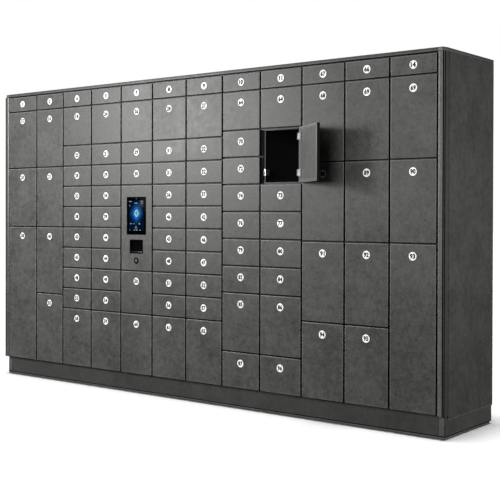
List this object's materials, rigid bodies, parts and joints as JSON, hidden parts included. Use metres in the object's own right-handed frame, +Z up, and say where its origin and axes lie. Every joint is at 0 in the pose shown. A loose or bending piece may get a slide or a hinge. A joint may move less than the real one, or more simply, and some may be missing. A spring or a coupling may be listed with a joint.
{
  "type": "electronic locker bank",
  "caption": "Wide freestanding bank of numbered steel compartments with hinged doors of mixed heights, a touch-screen service panel, one door standing open, end stiles, top cap and plinth.",
  "frame": {"origin": "centre of the bank's footprint (without the open door) on the floor, under its middle base beam", "axes": "+X along the bank to the right as seen from the front, +Y from the door fronts towards the back, +Z up"},
  "size_m": [3.68, 0.8016, 2.11],
  "materials": {
    "door_paint": "satin",
    "frame_paint": "satin",
    "stile_paint": "satin",
    "inner_paint": "matte",
    "black_gloss": "gloss",
    "black_plastic": "matte",
    "bright_steel": "satin",
    "galvanised": "satin"
  },
  "bodies": {
    "cabinet": {"carcass_module_1": "frame_paint", "carcass_module_2": "frame_paint", "carcass_module_3": "frame_paint", "carcass_module_4": "frame_paint", "carcass_module_5": "frame_paint", "carcass_module_6": "frame_paint", "door_stack_02": "door_paint", "door_stack_03": "door_paint", "door_stack_04": "door_paint", "door_stack_06": "door_paint", "door_stack_07": "door_paint", "door_stack_08": "door_paint", "door_stack_10": "door_paint", "end_stile_left": "stile_paint", "end_stile_right": "stile_paint", "side_panel_left": "frame_paint", "side_panel_right": "frame_paint", "top_cap": "frame_paint", "base_frame": "inner_paint", "plinth_fascia": "frame_paint", "latch_71": "bright_steel", "controller_box": "galvanised"},
    "leaf_01": {"door_01": "door_paint"},
    "leaf_15": {"door_15": "door_paint"},
    "leaf_20": {"door_20": "door_paint"},
    "leaf_38": {"door_38": "door_paint"},
    "leaf_07": {"door_07": "door_paint"},
    "leaf_26": {"door_26": "door_paint"},
    "leaf_29": {"door_29": "door_paint"},
    "leaf_30": {"door_30": "door_paint"},
    "service_panel": {"control_panel": "door_paint", "touch_display": "black_gloss", "code_reader": "black_plastic", "lock_body": "black_plastic"},
    "lock_plug": {"lock_cylinder": "bright_steel"},
    "leaf_50": {"door_50": "door_paint"},
    "leaf_60": {"door_60": "door_paint"},
    "leaf_11": {"door_11": "door_paint"},
    "leaf_65": {"door_65": "door_paint"},
    "leaf_71": {"door_71": "door_paint", "hinge_71_upper": "bright_steel", "hinge_71_lower": "bright_steel"},
    "leaf_73": {"door_73": "door_paint"},
    "leaf_77": {"door_77": "door_paint"},
    "leaf_80": {"door_80": "door_paint"},
    "leaf_83": {"door_83": "door_paint"},
    "leaf_86": {"door_86": "door_paint"},
    "leaf_96": {"door_96": "door_paint"},
    "leaf_67": {"door_67": "door_paint"},
    "leaf_91": {"door_91": "door_paint"},
    "leaf_94": {"door_94": "door_paint"},
    "leaf_66": {"door_66": "door_paint"},
    "leaf_69": {"door_69": "door_paint"},
    "leaf_89": {"door_89": "door_paint"},
    "leaf_92": {"door_92": "door_paint"},
    "leaf_95": {"door_95": "door_paint"},
    "leaf_14": {"door_14": "door_paint"},
    "leaf_75": {"door_75": "door_paint"},
    "leaf_90": {"door_90": "door_paint"},
    "leaf_93": {"door_93": "door_paint"}
  },
  "joints": [
    {"name": "door_01_hinge", "type": "hinge", "parent": "cabinet", "child": "leaf_01", "pos_m": [-1.48, -0.305, 2.029], "axis": [0, 0, 1], "range_deg": [0, 110]},
    {"name": "door_15_hinge", "type": "hinge", "parent": "cabinet", "child": "leaf_15", "pos_m": [-1.48, -0.305, 1.7625], "axis": [0, 0, 1], "range_deg": [0, 110]},
    {"name": "door_20_hinge", "type": "hinge", "parent": "cabinet", "child": "leaf_20", "pos_m": [-1.48, -0.305, 1.3345], "axis": [0, 0, 1], "range_deg": [0, 110]},
    {"name": "door_38_hinge", "type": "hinge", "parent": "cabinet", "child": "leaf_38", "pos_m": [-1.48, -0.305, 0.6235], "axis": [0, 0, 1], "range_deg": [0, 110]},
    {"name": "door_07_hinge", "type": "hinge", "parent": "cabinet", "child": "leaf_07", "pos_m": [-0.305, -0.305, 2.029], "axis": [0, 0, 1], "range_deg": [0, 110]},
    {"name": "door_26_hinge", "type": "hinge", "parent": "cabinet", "child": "leaf_26", "pos_m": [-0.305, -0.305, 1.8355], "axis": [0, 0, 1], "range_deg": [0, 110]},
    {"name": "door_29_hinge", "type": "hinge", "parent": "cabinet", "child": "leaf_29", "pos_m": [-0.305, -0.305, 1.6255], "axis": [0, 0, 1], "range_deg": [0, 110]},
    {"name": "door_30_hinge", "type": "hinge", "parent": "cabinet", "child": "leaf_30", "pos_m": [-0.305, -0.305, 1.4805], "axis": [0, 0, 1], "range_deg": [0, 110]},
    {"name": "service_panel_hinge", "type": "hinge", "parent": "cabinet", "child": "service_panel", "pos_m": [-0.305, -0.305, 1.118], "axis": [0, 0, 1], "range_deg": [0, 110]},
    {"name": "lock_plug_turn", "type": "hinge", "parent": "service_panel", "child": "lock_plug", "pos_m": [-0.4525, -0.305, 0.897], "axis": [0, -1, 0], "range_deg": [0, 90]},
    {"name": "door_50_hinge", "type": "hinge", "parent": "cabinet", "child": "leaf_50", "pos_m": [-0.305, -0.305, 0.683], "axis": [0, 0, 1], "range_deg": [0, 110]},
    {"name": "door_60_hinge", "type": "hinge", "parent": "cabinet", "child": "leaf_60", "pos_m": [-0.305, -0.305, 0.334], "axis": [0, 0, 1], "range_deg": [0, 110]},
    {"name": "door_11_hinge", "type": "hinge", "parent": "cabinet", "child": "leaf_11", "pos_m": [0.91, -0.305, 2.029], "axis": [0, 0, 1], "range_deg": [0, 110]},
    {"name": "door_65_hinge", "type": "hinge", "parent": "cabinet", "child": "leaf_65", "pos_m": [0.91, -0.305, 1.8525], "axis": [0, 0, 1], "range_deg": [0, 110]},
    {"name": "door_71_hinge", "type": "hinge", "parent": "cabinet", "child": "leaf_71", "pos_m": [0.91, -0.305, 1.564], "axis": [0, 0, 1], "range_deg": [-145, 0]},
    {"name": "door_73_hinge", "type": "hinge", "parent": "cabinet", "child": "leaf_73", "pos_m": [0.91, -0.305, 1.312], "axis": [0, 0, 1], "range_deg": [0, 110]},
    {"name": "door_77_hinge", "type": "hinge", "parent": "cabinet", "child": "leaf_77", "pos_m": [0.91, -0.305, 1.144], "axis": [0, 0, 1], "range_deg": [0, 110]},
    {"name": "door_80_hinge", "type": "hinge", "parent": "cabinet", "child": "leaf_80", "pos_m": [0.91, -0.305, 0.976], "axis": [0, 0, 1], "range_deg": [0, 110]},
    {"name": "door_83_hinge", "type": "hinge", "parent": "cabinet", "child": "leaf_83", "pos_m": [0.91, -0.305, 0.808], "axis": [0, 0, 1], "range_deg": [0, 110]},
    {"name": "door_86_hinge", "type": "hinge", "parent": "cabinet", "child": "leaf_86", "pos_m": [0.91, -0.305, 0.5405], "axis": [0, 0, 1], "range_deg": [0, 110]},
    {"name": "door_96_hinge", "type": "hinge", "parent": "cabinet", "child": "leaf_96", "pos_m": [0.91, -0.305, 0.2435], "axis": [0, 0, 1], "range_deg": [0, 110]},
    {"name": "door_67_hinge", "type": "hinge", "parent": "cabinet", "child": "leaf_67", "pos_m": [1.21, -0.305, 2.029], "axis": [0, 0, 1], "range_deg": [0, 110]},
    {"name": "door_91_hinge", "type": "hinge", "parent": "cabinet", "child": "leaf_91", "pos_m": [1.21, -0.305, 0.819], "axis": [0, 0, 1], "range_deg": [0, 110]},
    {"name": "door_94_hinge", "type": "hinge", "parent": "cabinet", "child": "leaf_94", "pos_m": [1.21, -0.305, 0.3565], "axis": [0, 0, 1], "range_deg": [0, 110]},
    {"name": "door_66_hinge", "type": "hinge", "parent": "cabinet", "child": "leaf_66", "pos_m": [1.505, -0.305, 2.029], "axis": [0, 0, 1], "range_deg": [0, 110]},
    {"name": "door_69_hinge", "type": "hinge", "parent": "cabinet", "child": "leaf_69", "pos_m": [1.505, -0.305, 1.745], "axis": [0, 0, 1], "range_deg": [0, 110]},
    {"name": "door_89_hinge", "type": "hinge", "parent": "cabinet", "child": "leaf_89", "pos_m": [1.505, -0.305, 1.286], "axis": [0, 0, 1], "range_deg": [0, 110]},
    {"name": "door_92_hinge", "type": "hinge", "parent": "cabinet", "child": "leaf_92", "pos_m": [1.505, -0.305, 0.819], "axis": [0, 0, 1], "range_deg": [0, 110]},
    {"name": "door_95_hinge", "type": "hinge", "parent": "cabinet", "child": "leaf_95", "pos_m": [1.505, -0.305, 0.3565], "axis": [0, 0, 1], "range_deg": [0, 110]},
    {"name": "door_14_hinge", "type": "hinge", "parent": "cabinet", "child": "leaf_14", "pos_m": [1.8, -0.305, 2.029], "axis": [0, 0, 1], "range_deg": [0, 110]},
    {"name": "door_75_hinge", "type": "hinge", "parent": "cabinet", "child": "leaf_75", "pos_m": [1.8, -0.305, 1.745], "axis": [0, 0, 1], "range_deg": [0, 110]},
    {"name": "door_90_hinge", "type": "hinge", "parent": "cabinet", "child": "leaf_90", "pos_m": [1.8, -0.305, 1.286], "axis": [0, 0, 1], "range_deg": [0, 110]},
    {"name": "door_93_hinge", "type": "hinge", "parent": "cabinet", "child": "leaf_93", "pos_m": [1.8, -0.305, 0.5925], "axis": [0, 0, 1], "range_deg": [0, 110]}
  ]
}
